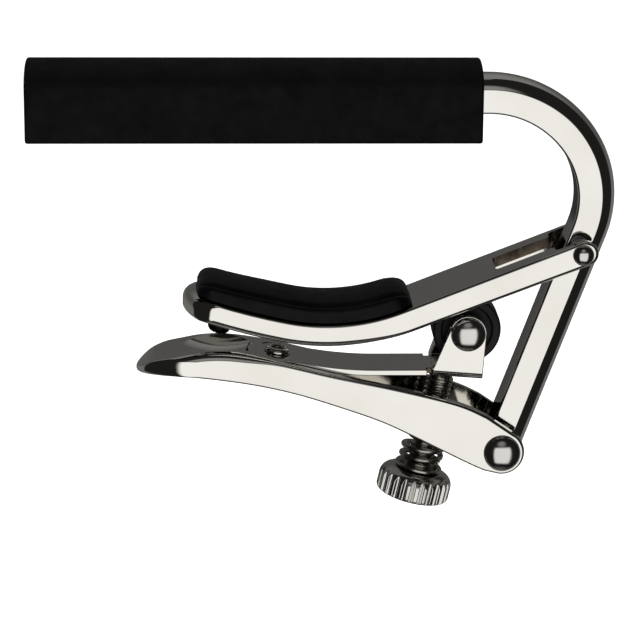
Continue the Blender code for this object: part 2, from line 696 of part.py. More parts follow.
def build():
    clear_scene()
    frame_bar()
    fret_sleeve()
    bar_side = BAR_WIDTH / 2 + SIDE_GAP
    jaw_side, lever_side = JAW_WIDTH / 2, LEVER_WIDTH / 2
    rivet("jaw_pivot_rivet", JAW_PIVOT, 0.9 * MM, 1.35 * MM, jaw_side + SIDE_GAP, 0.85 * MM)
    rivet("lever_pivot_rivet", LEVER_PIVOT, 1.25 * MM, 2.4 * MM, lever_side + SIDE_GAP, 1.25 * MM)
    washers("jaw_washer", JAW_PIVOT, 1.0 * MM, 1.4 * MM, bar_side, jaw_side - JAW_WALL - SIDE_GAP, NYLON)
    washers("lever_washer", LEVER_PIVOT, 1.4 * MM, 2.3 * MM, bar_side,
            lever_side - LEVER_WALL - SIDE_GAP, STEEL)
    jaw_channel()
    jaw_pad()
    lever_channel()
    screw_bush()
    strap_rivet()
    roller_arm()
    rivet("roller_axle", ROLLER_AXLE, 1.0 * MM, 2.25 * MM, EAR_OUTER + SIDE_GAP, 1.1 * MM)
    washers("roller_washer", ROLLER_AXLE, 1.1 * MM, 2.1 * MM, ROLLER_HALF_WIDTH + SIDE_GAP,
            EAR_OUTER - EAR_THICKNESS - SIDE_GAP, STEEL)
    roller_tyre()
    bush = ring("roller_bush", 1.08 * MM, ROLLER_BORE - 0.1 * MM, -ROLLER_HALF_WIDTH, ROLLER_HALF_WIDTH)
    part("roller_bush", across(bush, ROLLER_AXLE), STEEL)
    knob()
    adjusting_screw()
    spring_seat()
    tension_spring()


clear_scene()
CAPO = new_collection("guitar_capo")
CUTTERS = new_collection("cutters", hidden=True)
NICKEL = material("polished_nickel", (0.78, 0.76, 0.72), 0.12, 1.0)
NICKEL_DARK = material("dark_nickel", (0.55, 0.53, 0.50), 0.15, 1.0)
STEEL = material("steel", (0.45, 0.43, 0.41), 0.25, 1.0)
RUBBER = material("black_rubber", (0.012, 0.012, 0.012), 0.6)
NYLON = material("black_nylon", (0.02, 0.018, 0.02), 0.35)
build()
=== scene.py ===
"""Looks for the guitar capo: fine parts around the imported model, with studio light and a camera."""

import json
import math

import bmesh
import bpy
from mathutils import Matrix, Vector


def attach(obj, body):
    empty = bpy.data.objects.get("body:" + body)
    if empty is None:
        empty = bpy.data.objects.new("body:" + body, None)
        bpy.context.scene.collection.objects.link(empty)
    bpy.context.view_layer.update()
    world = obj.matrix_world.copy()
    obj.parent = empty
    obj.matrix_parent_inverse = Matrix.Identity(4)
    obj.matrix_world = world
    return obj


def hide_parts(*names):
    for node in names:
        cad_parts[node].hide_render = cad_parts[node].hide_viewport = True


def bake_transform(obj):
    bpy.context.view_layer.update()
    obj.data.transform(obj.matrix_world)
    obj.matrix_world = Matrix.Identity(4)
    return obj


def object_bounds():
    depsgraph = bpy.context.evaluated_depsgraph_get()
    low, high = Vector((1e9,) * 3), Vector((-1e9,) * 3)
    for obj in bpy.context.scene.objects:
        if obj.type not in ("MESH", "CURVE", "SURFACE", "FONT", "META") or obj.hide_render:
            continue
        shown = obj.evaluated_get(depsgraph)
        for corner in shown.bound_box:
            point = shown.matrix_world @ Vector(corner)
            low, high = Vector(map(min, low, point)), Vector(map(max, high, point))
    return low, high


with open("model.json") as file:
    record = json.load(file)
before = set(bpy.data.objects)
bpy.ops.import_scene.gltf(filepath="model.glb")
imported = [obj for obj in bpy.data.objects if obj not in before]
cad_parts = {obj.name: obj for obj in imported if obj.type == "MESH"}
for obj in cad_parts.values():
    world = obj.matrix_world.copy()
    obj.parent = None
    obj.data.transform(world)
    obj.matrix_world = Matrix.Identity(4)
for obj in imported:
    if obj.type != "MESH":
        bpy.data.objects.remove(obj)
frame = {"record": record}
CAD_LOW, CAD_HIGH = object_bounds()

MM = 0.001
GAP = 0.15 * MM
SIDE_GAP = 0.1 * MM
LEVER_DROP = 46 * MM  # how far the opened lever hangs below the closed capo, and a little more
EDGE_ZONE = 0.6 * MM  # how far from a pressed part's side its rings lie closer together
THIN_EDGE = 0.35 * MM

# Ends and half-lengths of cutters, all past what they cut
THROUGH = 9 * MM
BAR_THROUGH = 5 * MM
WIDE = 20 * MM
TALL = 70 * MM
FAR_RIGHT = 60 * MM
OVERHEAD = -20 * MM


def joint(name):
    return next(j for j in frame["record"]["behaviour"]["joints"] if j["name"] == name)


def side_point(name):
    """A cross axle's place in side view, as (x, z)."""
    x, _, z = joint(name)["pos_m"]
    return Vector((x, z))


JAW_PIVOT = side_point("jaw_swing")
LEVER_PIVOT = side_point("lever_swing")
ROLLER_AXLE = side_point("roller_spin")
ARM_ROOT = side_point("arm_flex")
SCREW_FOOT = side_point("screw_turn")
SCREW_DOWN = Vector(joint("screw_turn")["axis"])

# Bent bar
BAR_WIDTH = 5.2 * MM
BAR_DEPTH = 5.0 * MM
BAR_SIDE = 2.95 * MM
BAR_EDGE = 0.35 * MM
BAR_FLOOR = 3.25 * MM
BAR_START = -27.0 * MM
BEND_START = 29.8 * MM
BEND_RADII = (11.85 * MM, 10.45 * MM)
BEND_TURNS = (60.0, 50.0)
LEVER_PIVOT_ALONG = 30.65 * MM
JAW_HOLE = 1.0 * MM
LEVER_HOLE = 1.35 * MM

# Fret sleeve
SLEEVE_LENGTH = 57.6 * MM
SLEEVE_WIDTH = 11.0 * MM
SLEEVE_SIDE = 7.0 * MM
SLEEVE_HEIGHT = 9.95 * MM

# Jaw
JAW_WIDTH = 12.0 * MM
JAW_WALL = 1.3 * MM
JAW_WEB = 1.3 * MM
JAW_TILT = math.radians(21.5)
JAW_ARM = 24.2 * MM
JAW_RISE = 1.5 * MM
SADDLE_RADII = (26.0 * MM, 85.0 * MM)
SADDLE_TURNS = (33.0, 9.4)
JAW_HEIGHTS = (2.95 * MM, 3.25 * MM)
JAW_DEEPENS = (0.45, 0.65)  # the shares of its length between which the height changes
JAW_EDGES = (1.15 * MM, 0.75 * MM)  # its lower rounding, left and right
JAW_NOSE = 4.2 * MM  # how far the rounded end reaches, seen from above
BUFFED_DEPTH = 1.45 * MM  # below this the inner faces are polished nickel too; above it they take the darker inside colour, which is painted shade
JAW_END = 0.4 * MM  # the far end's centre, past the pivot
SLOT_LENGTH = 11.6 * MM
SLOT_WIDTH = 5.7 * MM
EAR_LENGTH = 3.4 * MM

# Pad
PAD_WIDTH = 11.2 * MM
PAD_SPAN = (1.9 * MM, 30.4 * MM)
PAD_ROUND = 2.5 * MM
PEG_ALONG = (6.2 * MM, 26.0 * MM)
PEG_RADIUS = 1.5 * MM
PEG_LENGTH = 5.0 * MM

# Lever
LEVER_WIDTH = 11.0 * MM
LEVER_WALL = 1.3 * MM
LEVER_END = 2.95 * MM
TAB_TIP = (-15.3 * MM, -30.3 * MM)
LEVER_OPEN_RADIUS = 3.9 * MM
TAB_REACH = 8.0 * MM
TAB_EDGES = (1.2 * MM, 0.45 * MM)  # the upper rounding, on the tab and right of it
DISH_SPAN = (-9.4 * MM, 0.2 * MM)
DISH_HALF = 4.3 * MM
DISH_DEPTH = 1.5 * MM

# Roller arm and roller
ARM_WIDTH = 7.8 * MM
ARM_HOLE = 1.1 * MM
ARM_THICKNESS = 0.75 * MM
ARM_TILT = math.radians(-9.3)
ARM_LEFT = 3.9 * MM
ARM_STRAIGHT = 5.2 * MM
ARM_BEND = 48.0 * MM
ARM_BASE_END = 29.6 * MM
EAR_OUTER = 4.3 * MM
EAR_THICKNESS = 0.8 * MM
EAR_TOP = 2.4 * MM
EAR_FOOT = 23.1 * MM
FOOT_DROP = 0.5 * MM  # the clevis leans down at its end
NOTCH_WIDTH = 0.7 * MM
NOTCH_INNER = 2.9 * MM
ROLLER_RADIUS = 4.45 * MM
ROLLER_HALF_WIDTH = 2.3 * MM
ROLLER_BORE = 2.2 * MM

# Adjusting screw, knob and spring
SCREW_RADIUS = 1.75 * MM
SCREW_LENGTH = 17.3 * MM
THREAD_PITCH = 0.7 * MM
KNOB_RADIUS = 4.85 * MM
KNOB_HEIGHT = 2.7 * MM
KNOB_TOP = KNOB_HEIGHT + 1.0 * MM
FLUTES = 26
SPRING_RADIUS = 2.55 * MM
SPRING_WIRE = 0.38 * MM
SPRING_TURNS = 2.25
FLANGE_TOP = 0.45 * MM  # the spring rests on its seat at this height
BUSH_RADIUS = 2.6 * MM


# ---------------- outlines


def millimetres(points):
    return [(x * MM, z * MM) for x, z in points]


def arc(center, radius, start, end, steps):
    """Points on an arc from start to end, in degrees anticlockwise from +X."""
    angles = [math.radians(start + (end - start) * i / steps) for i in range(steps + 1)]
    return [(center[0] + radius * math.cos(a), center[1] + radius * math.sin(a)) for a in angles]


def circle(steps):
    """Evenly spaced angles round a whole turn."""
    return [2 * math.pi * i / steps for i in range(steps)]


def ahead(heading):
    return Vector((math.cos(heading), math.sin(heading)))


def left_of(heading):
    return Vector((-math.sin(heading), math.cos(heading)))


def in_space(point):
    """A side-view point in the middle plane."""
    return Vector((point[0], 0, point[1]))


def walk(start, heading, stretches, step_angle=1.5):
    """Points and headings along lines and arcs, given as ("line", length) or ("arc", radius, degrees)."""
    point, stations = Vector(start), [(Vector(start), heading)]
    for stretch in stretches:
        if stretch[0] == "line":
            point = point + stretch[1] * ahead(heading)
            stations.append((point, heading))
            continue
        _, radius, degrees = stretch
        side = math.copysign(1.0, degrees)
        center = point + side * radius * left_of(heading)
        steps = max(2, round(abs(degrees) / step_angle))
        first = heading
        for i in range(1, steps + 1):
            heading = first + math.radians(degrees) * i / steps
            point = center - side * radius * left_of(heading)
            stations.append((point, heading))
    return stations


def offset(stations, distance):
    """The stations' points moved to their left by a distance or by a function of the share walked."""
    lengths = [0.0]
    for (a, _), (b, _) in zip(stations, stations[1:]):
        lengths.append(lengths[-1] + (b - a).length)
    moved = []
    for (point, heading), length in zip(stations, lengths):
        value = distance(length / lengths[-1]) if callable(distance) else distance
        moved.append(point + value * left_of(heading))
    return moved


def curve_value(t, p, q, r, s):
    """A Catmull-Rom curve between q and r, at share t."""
    square, cube = 2 * p - 5 * q + 4 * r - s, 3 * q - p - 3 * r + s
    return 0.5 * (2 * q + (r - p) * t + square * t * t + cube * t**3)


def smooth(points, steps=8):
    """A Catmull-Rom curve through the points."""
    ends = [points[0], *points, points[-1]]
    found = []
    for knots in zip(ends, ends[1:], ends[2:], ends[3:]):
        for i in range(steps):
            found.append(tuple(curve_value(i / steps, *numbers) for numbers in zip(*knots)))
    return [*found, tuple(points[-1])]


def floor_corners(half, edge):
    return [*arc((-half + edge, edge), edge, 180, 270, 5), *arc((half - edge, edge), edge, 270, 360, 5)]


def crowned(width, side, height, edge, steps=24):
    """A section flat below with rounded lower edges and elliptical on top, as (across, up) points."""
    rise, half = height - side, width / 2
    turns = [math.pi * i / steps for i in range(steps + 1)]
    return [*floor_corners(half, edge), *[(half * math.cos(t), side + rise * math.sin(t)) for t in turns]]


def arched(width, side, height, edge, steps=24):
    """The same with a circular crown, which meets the sides at an angle."""
    rise, half = height - side, width / 2
    radius = (half**2 + rise**2) / (2 * rise)
    spread = math.degrees(math.asin(half / radius))
    return [*floor_corners(half, edge), *arc((0, height - radius), radius, 90 - spread, 90 + spread, steps)]


def moved_left(points, distance):
    """An open line moved to its left by a distance that may be a function of x."""
    found = []
    for i, point in enumerate(points):
        step = Vector(points[min(i + 1, len(points) - 1)]) - Vector(points[max(i - 1, 0)])
        value = distance(point[0]) if callable(distance) else distance
        found.append(Vector(point) + value * Vector((-step[1], step[0])).normalized())
    return found


def from_x(points, start, count):
    """The part of a line right of x = start, as count + 1 evenly spaced points."""
    kept = [Vector(point) for point in points]
    while len(kept) > 2 and kept[1][0] <= start:
        kept.pop(0)
    if kept[0][0] < start:
        share = (start - kept[0][0]) / (kept[1][0] - kept[0][0])
        kept[0] = kept[0].lerp(kept[1], share)
    lengths = [(b - a).length for a, b in zip(kept, kept[1:])]
    total, found, walked, i = sum(lengths), [], 0.0, 0
    for step in range(count):
        along = total * step / count
        while i < len(lengths) - 1 and walked + lengths[i] < along:
            walked += lengths[i]
            i += 1
        found.append(kept[i].lerp(kept[i + 1], (along - walked) / lengths[i]))
    return [*found, kept[-1]]


def rounded_end(left, right, half_width, corner, steps=16):
    """A plan outline with rounded left corners."""
    lower = arc((left + corner, -half_width + corner), corner, 180, 270, steps)
    upper = arc((left + corner, half_width - corner), corner, 90, 180, steps)
    return [*upper, *lower, (right, -half_width), (right, half_width)]


# ---------------- mesh building


def linked(name, mesh):
    obj = bpy.data.objects.new(name, mesh)
    bpy.context.scene.collection.objects.link(obj)
    return obj


def faced_outwards(mesh, weld=0.0, flatten=0.0):
    """The mesh with its normals outwards, after any welding and any flattening of nearly flat edges."""
    shape = bmesh.new()
    shape.from_mesh(mesh)
    if weld:
        bmesh.ops.remove_doubles(shape, verts=shape.verts, dist=weld)
    if flatten:
        limit = math.radians(flatten)
        bmesh.ops.dissolve_limit(shape, angle_limit=limit, verts=shape.verts, edges=shape.edges)
    bmesh.ops.recalc_face_normals(shape, faces=shape.faces)
    shape.to_mesh(mesh)
    shape.free()
    return mesh


def meshed(obj, flatten=0.0):
    """The object's evaluated shape, welded. Flatten, in degrees, merges faces that near to one plane."""
    bpy.context.view_layer.update()
    graph = bpy.context.evaluated_depsgraph_get()
    mesh = bpy.data.meshes.new_from_object(obj.evaluated_get(graph))
    made = linked(obj.name, faced_outwards(mesh, weld=1e-6, flatten=flatten))
    made.matrix_world = obj.matrix_world
    bpy.data.objects.remove(obj, do_unlink=True)
    return made


def plate(name, outline, half_width, side_view=True):
    """A flat outline given half_width to each side: in side view it lies in XZ, in plan view in XY."""
    curve = bpy.data.curves.new(name, "CURVE")
    curve.dimensions = "2D"
    curve.fill_mode = "BOTH"
    curve.extrude = half_width
    spline = curve.splines.new("POLY")
    spline.points.add(len(outline) - 1)
    for target, point in zip(spline.points, outline):
        target.co = (point[0], point[1], 0.0, 1.0)
    spline.use_cyclic_u = True
    obj = linked(name, curve)
    if side_view:
        obj.matrix_world = Matrix.Rotation(math.pi / 2, 4, "X")
    return meshed(obj)


def plan_cutter(name, outline, half_height=TALL):
    return plate(name, outline, half_height, side_view=False)


def lofted(name, rings):
    """Rings of equally many 3-D points, skinned and capped."""
    count = len(rings[0])
    points = [tuple(point) for ring_points in rings for point in ring_points]
    faces = [tuple(range(count))]
    for r in range(len(rings) - 1):
        for i in range(count):
            a, b = r * count + i, r * count + (i + 1) % count
            faces.append((a, a + count, b + count, b))
    faces.append(tuple(reversed(range((len(rings) - 1) * count, len(rings) * count))))
    mesh = bpy.data.meshes.new(name)
    mesh.from_pydata(points, [], faces)
    return linked(name, faced_outwards(mesh))


def eased(value, low, high):
    """0 below low, 1 above high and smooth between them."""
    share = min(1.0, max(0.0, (value - low) / (high - low)))
    return share * share * (3 - 2 * share)


def changing(values, span):
    """A function that eases from the first value to the second over a span."""
    return lambda x: values[0] + (values[1] - values[0]) * eased(x, *span)


def inset(edge, y, half_width):
    """How far a rounded long edge falls back at y."""
    over = min(edge, max(0.0, abs(y) - half_width + edge))
    return edge - math.sqrt(edge**2 - over**2)


def side_places(half_width):
    """Places from side to side, closer together where the long edges are rounded."""
    inner = half_width - EDGE_ZONE
    turns = [math.asin(inner / half_width) * i / 16 for i in range(17)]
    sides = [half_width * math.sin(t) for t in turns]
    sides += [inner + EDGE_ZONE * math.sin(math.radians(a)) for a in (12, 24, 36, 48, 60, 72, 82, 90)]
    return [*[-side for side in reversed(sides[1:])], *sides]


def filleted(name, upper, lower, end, half_width, tip, reach, corners, edges):
    """A body between two lines in side view, as rings from side to side that round all its long edges.

    Its left end is half an ellipse in plan, from tip, with its corners rounded there. The right end is the
    arc end = (centre, radius, start, stop). Edges holds the rounding radius along the upper and the lower
    line, as functions of x.
    """
    center, radius, first, last = end
    first_steps, line_steps, end_steps = 60, 90, 28
    rings = []
    for y in side_places(half_width):
        left = tip + reach * (1 - math.sqrt(max(0.0, 1 - (y / half_width) ** 2)))
        top = moved_left(upper, lambda x: -inset(edges[0](x), y, half_width))
        bottom = moved_left(lower, lambda x: inset(edges[1](x), y, half_width))
        starts = [from_x(line, left, first_steps) for line in (top, bottom)]
        height = starts[0][0][1] - starts[1][0][1]
        round_off = [min(corner, share * height) for corner, share in zip(corners, (0.5, 0.4))]
        slopes = [(line[1] - line[0]).normalized()[1] for line in starts]
        top = from_x(top, left + round_off[0] * (1 - slopes[0]), line_steps)
        bottom = from_x(bottom, left + round_off[1] * (1 + slopes[1]), line_steps)
        far = [Vector(p) for p in arc((0, 0), 1.0, first, last, end_steps)]
        shrink = [inset(edge(center[0]), y, half_width) for edge in edges]
        change = shrink[1] - shrink[0]
        far = [center + (radius - shrink[0] - change * i / end_steps) * p for i, p in enumerate(far)]
        lean = [math.degrees(math.atan2(*(line[1] - line[0]).yx)) for line in (top, bottom)]
        below = arc((0, 0), round_off[1], 270 + lean[1], 180, 8)
        above = arc((0, 0), round_off[0], 180, 90 + lean[0], 10)
        below = [bottom[0] + Vector(p) - Vector(below[0]) for p in below[1:]]
        above = [top[0] + Vector(p) - Vector(above[-1]) for p in above[:-1]]
        outline = [*top, *far, *reversed(bottom), *below, *above]
        rings.append([(x, y, z) for x, z in outline])
    return lofted(name, rings)


def turned(name, profile, steps=96, closed=False):
    """A profile of (radius, height) points turned about Z; its outer side runs from top to bottom."""
    mesh = bpy.data.meshes.new(name)
    edges = [(i, i + 1) for i in range(len(profile) - 1)]
    if closed:
        edges.append((len(profile) - 1, 0))
    mesh.from_pydata([(r, 0.0, z) for r, z in profile], edges, [])
    obj = linked(name, mesh)
    modifier = obj.modifiers.new("turn", "SCREW")
    modifier.steps = modifier.render_steps = steps
    modifier.use_merge_vertices = True
    modifier.merge_threshold = 1e-6
    return obj


def mirrored(half):
    """A profile whose upper half is given, from the top down."""
    return [*half, *[(r, -z) for r, z in reversed(half)]]


def ring(name, inner, outer, bottom, top, edge=0.08 * MM):
    outside = [(outer - edge, top), (outer, top - edge), (outer, bottom + edge), (outer - edge, bottom)]
    return turned(name, [(inner, top), *outside, (inner, bottom)], closed=True)


def cylinder(name, radius, bottom, top, steps=64):
    return turned(name, [(0, top), (radius, top), (radius, bottom), (0, bottom)], steps)


def combine(obj, other, operation="DIFFERENCE"):
    """Cuts, joins or intersects at once, and removes the other shape."""
    tool = meshed(other)
    modifier = obj.modifiers.new(operation.lower(), "BOOLEAN")
    modifier.operation = operation
    modifier.solver = "EXACT"
    modifier.material_mode = "TRANSFER"
    modifier.object = tool
    made = meshed(obj)
    bpy.data.objects.remove(tool, do_unlink=True)
    return made


def cut(obj, tool, material):
    """Cuts with a tool that leaves the material on the cut faces."""
    return combine(obj, made_of(material, tool))


def within(obj, plan, half_height=TALL):
    """Keeps what lies inside a plan outline."""
    return combine(obj, plan_cutter("plan", plan, half_height), "INTERSECT")


def drilled(obj, radius, point, half_length=THROUGH):
    """Cuts a cross hole right through."""
    return combine(obj, across(cylinder("hole", radius, -half_length, half_length), point))


def put(obj, point, turn):
    obj.matrix_world = Matrix.Translation(in_space(point)) @ turn
    return obj


def across(obj, point):
    """Puts a shape turned about Z on a cross axle through the side-view point, its top towards -Y."""
    return put(obj, point, Matrix.Rotation(math.pi / 2, 4, "X"))


def on_screw(obj):
    """Puts a shape turned about Z on the leaning screw axis, with height 0 at the knob's bottom face."""
    lean = Vector((0, 0, 1)).rotation_difference(-SCREW_DOWN).to_matrix().to_4x4()
    return put(obj, SCREW_FOOT, lean)


def smoothed(obj, edge=0.0, segments=3, angle=30):
    """Rounds the edges sharper than the angle and shades the piece so that flat faces stay flat."""
    if obj.modifiers:
        obj = meshed(obj)
    if edge:
        obj = meshed(obj, flatten=0.6)
        modifier = obj.modifiers.new("edges", "BEVEL")
        modifier.width = edge
        modifier.segments = segments
        modifier.limit_method = "ANGLE"
        modifier.angle_limit = math.radians(angle)
        modifier.use_clamp_overlap = False
    obj.data.shade_smooth()
    obj.data.set_sharp_from_angle(angle=math.radians(32))
    weighted = obj.modifiers.new("normals", "WEIGHTED_NORMAL")
    weighted.weight = 80
    weighted.keep_sharp = True
    return obj


def made_of(material, obj):
    obj.data.materials.append(material)
    return obj


def placed(obj, name, body, node, material):
    """Names a finished piece, gives it its look and puts it in the place of a CAD node on a body."""
    obj.name = obj.data.name = name
    if not any(obj.data.materials):
        obj.data.materials.clear()
        obj.data.materials.append(material)
    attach(obj, body)
    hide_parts(node)


# ---------------- materials


def map_range(tree, value, low, high, start, end, kind="LINEAR"):
    """What the value has between start and end, spread from low to high."""
    node = tree.nodes.new("ShaderNodeMapRange")
    node.interpolation_type = kind
    for socket, number in (("From Min", start), ("From Max", end), ("To Min", low), ("To Max", high)):
        node.inputs[socket].default_value = number
    tree.links.new(value, node.inputs["Value"])
    return node.outputs["Result"]


class Nodes:
    """A material's node tree around its Principled shader, in object coordinates."""

    def __init__(self, name, color, roughness, metallic=0.0):
        self.material = bpy.data.materials.new(name)
        self.material.use_nodes = True
        self.tree = self.material.node_tree
        self.shader = self.tree.nodes["Principled BSDF"]
        self.shader.inputs["Base Color"].default_value = (*color, 1.0)
        self.shader.inputs["Roughness"].default_value = roughness
        self.shader.inputs["Metallic"].default_value = metallic
        self.place = self.tree.nodes.new("ShaderNodeTexCoord").outputs["Object"]

    def link(self, output, target):
        self.tree.links.new(output, target)

    def stretched(self, scale):
        mapping = self.tree.nodes.new("ShaderNodeMapping")
        mapping.inputs["Scale"].default_value = scale
        self.link(self.place, mapping.inputs["Vector"])
        return mapping.outputs["Vector"]

    def noise(self, size, detail, rough=0.5, place=None):
        """Noise with features of about this size."""
        node = self.tree.nodes.new("ShaderNodeTexNoise")
        node.inputs["Scale"].default_value = 1.0 / size
        node.inputs["Detail"].default_value = detail
        node.inputs["Roughness"].default_value = rough
        self.link(place or self.place, node.inputs["Vector"])
        return node.outputs["Fac"]

    def range(self, value, low, high):
        """The middle of a noise's values, spread from low to high."""
        return map_range(self.tree, value, low, high, 0.3, 0.7)

    def blend(self, value, low, high):
        """A colour between low and high."""
        node = self.tree.nodes.new("ShaderNodeMix")
        node.data_type = "RGBA"
        node.inputs["A"].default_value = (*low, 1.0)
        node.inputs["B"].default_value = (*high, 1.0)
        self.link(self.range(value, 0.0, 1.0), node.inputs["Factor"])
        return node.outputs["Result"]

    def bump(self, value, height, normal=None):
        node = self.tree.nodes.new("ShaderNodeBump")
        node.inputs["Strength"].default_value = 1.0
        node.inputs["Distance"].default_value = height
        self.link(value, node.inputs["Height"])
        if normal:
            self.link(normal, node.inputs["Normal"])
        return node.outputs["Normal"]

    def use(self, socket, output):
        self.link(output, self.shader.inputs[socket])


def polished_nickel(name, light, dark, roughness):
    """Plated metal: a faint warm drift of colour, polishing marks along X and small patches of haze."""
    nodes = Nodes(name, light, roughness, 1.0)
    nodes.use("Base Color", nodes.blend(nodes.noise(9 * MM, 2.0), dark, light))
    nodes.use("Roughness", nodes.range(nodes.noise(2.5 * MM, 4.0), roughness * 0.8, roughness * 1.35))
    marks = nodes.noise(0.12 * MM, 2.0, 0.5, nodes.stretched((0.06, 1.0, 1.0)))
    ripple = nodes.noise(7 * MM, 1.0)
    nodes.use("Normal", nodes.bump(marks, 0.0006 * MM, nodes.bump(ripple, 0.012 * MM)))
    return nodes.material


def brushed_steel(name, light, dark, roughness):
    nodes = Nodes(name, light, roughness, 1.0)
    nodes.use("Base Color", nodes.blend(nodes.noise(1.2 * MM, 4.0), dark, light))
    nodes.use("Roughness", nodes.range(nodes.noise(0.5 * MM, 4.0), roughness * 0.7, roughness * 1.4))
    nodes.use("Normal", nodes.bump(nodes.noise(0.1 * MM, 2.0), 0.002 * MM))
    return nodes.material


def moulded_rubber(name, light, dark, roughness, grain):
    """Black rubber: a fine moulded grain, broad mottling and slightly greyer worn patches."""
    nodes = Nodes(name, light, roughness)
    nodes.use("Base Color", nodes.blend(nodes.noise(5 * MM, 4.0, 0.6), dark, light))
    nodes.use("Roughness", nodes.range(nodes.noise(1.5 * MM, 4.0), roughness * 0.85, roughness * 1.15))
    fine = nodes.noise(0.22 * MM, 3.0, 0.6)
    nodes.use("Normal", nodes.bump(fine, grain, nodes.bump(nodes.noise(4 * MM, 2.0), 0.03 * MM)))
    nodes.shader.inputs["Specular IOR Level"].default_value = 0.12
    return nodes.material


NICKEL = polished_nickel("polished_nickel", (0.86, 0.85, 0.82), (0.82, 0.80, 0.76), 0.05)
# Inside and cut faces: unpolished and rougher, and coloured far darker than the nickel, which is painted
# shade for the hollows.
SHADED_INSIDE = brushed_steel("unpolished_nickel_painted_shade", (0.22, 0.18, 0.14), (0.08, 0.06, 0.045), 0.30)
DOME = polished_nickel("rivet_nickel", (0.76, 0.75, 0.73), (0.62, 0.60, 0.58), 0.14)
STEEL = brushed_steel("plain_steel", (0.55, 0.53, 0.49), (0.32, 0.30, 0.27), 0.24)
RUBBER = moulded_rubber("sleeve_rubber", (0.0016, 0.0016, 0.0017), (0.0008, 0.0008, 0.0009), 0.62,
                        0.006 * MM)
PAD_RUBBER = moulded_rubber("pad_rubber", (0.0014, 0.0014, 0.0015), (0.0006, 0.0006, 0.0006), 0.42,
                            0.003 * MM)
NYLON = moulded_rubber("roller_nylon", (0.009, 0.008, 0.009), (0.004, 0.0035, 0.004), 0.32, 0.002 * MM)


# ---------------- frame: bar, sleeve and pivots


def bar_stations():
    stretches = [("line", BEND_START - BAR_START)]
    stretches += [("arc", radius, -turn) for radius, turn in zip(BEND_RADII, BEND_TURNS)]
    stretches += [("line", LEVER_PIVOT_ALONG + 8 * MM)]
    return walk((BAR_START, BAR_FLOOR), 0.0, stretches)


def on_leg(along, depth):
    """A point of the straight leg, along from the bend's end and deep from the inner face."""
    start, heading = bar_stations()[-2]
    return start + along * ahead(heading) + depth * left_of(heading)


def swept_bar(name, stations, clearance=0.0):
    section = arched(BAR_WIDTH + 2 * clearance, BAR_SIDE + clearance, BAR_DEPTH + clearance, BAR_EDGE)
    rings = []
    for point, heading in stations:
        up = left_of(heading)
        rings.append([(point[0] + h * up[0], y, point[1] + h * up[1]) for y, h in section])
    return lofted(name, rings)


def frame_bar():
    bar = swept_bar("bar", bar_stations())
    end, middle, reach = LEVER_PIVOT_ALONG + 0.3 * MM, BAR_DEPTH / 2, BAR_DEPTH / 2 + 0.02 * MM
    cap = [on_leg(end + along, middle + depth) for depth, along in arc((0, 0), reach, 0, 180, 30)]
    outer, inner = on_leg(end, 9 * MM), on_leg(end, -3 * MM)
    left, right, top, half_width = -40 * MM, FAR_RIGHT, 20 * MM, 6 * MM
    keep = [(right, top), (right, outer[1]), outer, *cap, inner, (left, inner[1]), (left, top)]
    bar = combine(bar, plate("bar_end", keep, half_width), "INTERSECT")
    bar = drilled(bar, JAW_HOLE, JAW_PIVOT, BAR_THROUGH)
    bar = drilled(bar, LEVER_HOLE, LEVER_PIVOT, BAR_THROUGH)
    placed(smoothed(bar), "bar", "frame", "frame_bar", NICKEL)


def fret_sleeve():
    """A rubber tube over the bar, closed at its left end."""
    half = SLEEVE_LENGTH / 2
    section = crowned(SLEEVE_WIDTH, SLEEVE_SIDE, SLEEVE_HEIGHT, 0.5 * MM, steps=36)
    sleeve = lofted("sleeve", [[(x, y, z) for y, z in section] for x in (-half, half)])
    bore = walk((BAR_START - GAP, BAR_FLOOR - GAP), 0.0, [("line", 1.1 * SLEEVE_LENGTH)])
    sleeve = combine(sleeve, swept_bar("bore", bore, GAP))
    placed(smoothed(sleeve, 0.3 * MM, 3, 50), "sleeve", "frame", "fret_sleeve", RUBBER)


def rivet(name, node, body, point, shank, head, half_length, rise):
    """A cross rivet with an elliptical head at each end."""
    turns = [math.pi * i / 48 for i in range(25)]
    dome = [(head * math.sin(t), half_length + rise * math.cos(t)) for t in turns]
    piece = smoothed(across(turned(name, mirrored([*dome, (shank, half_length)])), point))
    placed(piece, name, body, node, DOME)


def washers(name, node, body, point, inner, outer, near, far, material=STEEL):
    for side, bottom, top in (("near", near, far), ("far", -far, -near)):
        piece = smoothed(across(ring(name, inner, outer, bottom, top), point))
        placed(piece, f"{name}_{side}", body, f"{node}_{side}", material)


# ---------------- jaw and pad


def jaw_stations():
    """The web's top line from the jaw's rounded end to above its pivot."""
    start = JAW_PIVOT + JAW_RISE * left_of(JAW_TILT)
    saddle = [("arc", radius, -turn) for radius, turn in zip(SADDLE_RADII, SADDLE_TURNS)]
    back = walk(start, JAW_TILT + math.pi, [("line", JAW_ARM), *saddle])
    return [(point, heading - math.pi) for point, heading in reversed(back)]


def jaw_point(along):
    """A point of the web's top line a distance along it from the tip, with its heading there."""
    stations = jaw_stations()
    for (a, _), (b, heading) in zip(stations, stations[1:]):
        length = (b - a).length
        if along <= length:
            return a + (b - a) * along / length, heading
        along -= length
    raise ValueError("past the pivot")


def peg(name, along, radius, bottom, top, edge=0.0):
    """A cylinder square to the web, with heights counted from its top."""
    point, heading = jaw_point(along)
    foot = [(radius, bottom)]
    if edge:
        foot = [(radius, bottom + edge), *arc((radius - edge, bottom + edge), edge, -10, -90, 5)]
    obj = turned(name, [(0, top), (radius, top), *foot, (0, bottom)], 48)
    return put(obj, point, Matrix.Rotation(-heading, 4, "Y"))


def oval_end(left, right, half_width, reach, steps=30):
    """A plan outline whose left end is half an ellipse."""
    turns = [math.radians(90 + 180 * i / steps) for i in range(steps + 1)]
    tip = [(left + reach * (1 + math.cos(t)), half_width * math.sin(t)) for t in turns]
    return [*tip, (right, -half_width), (right, half_width)]


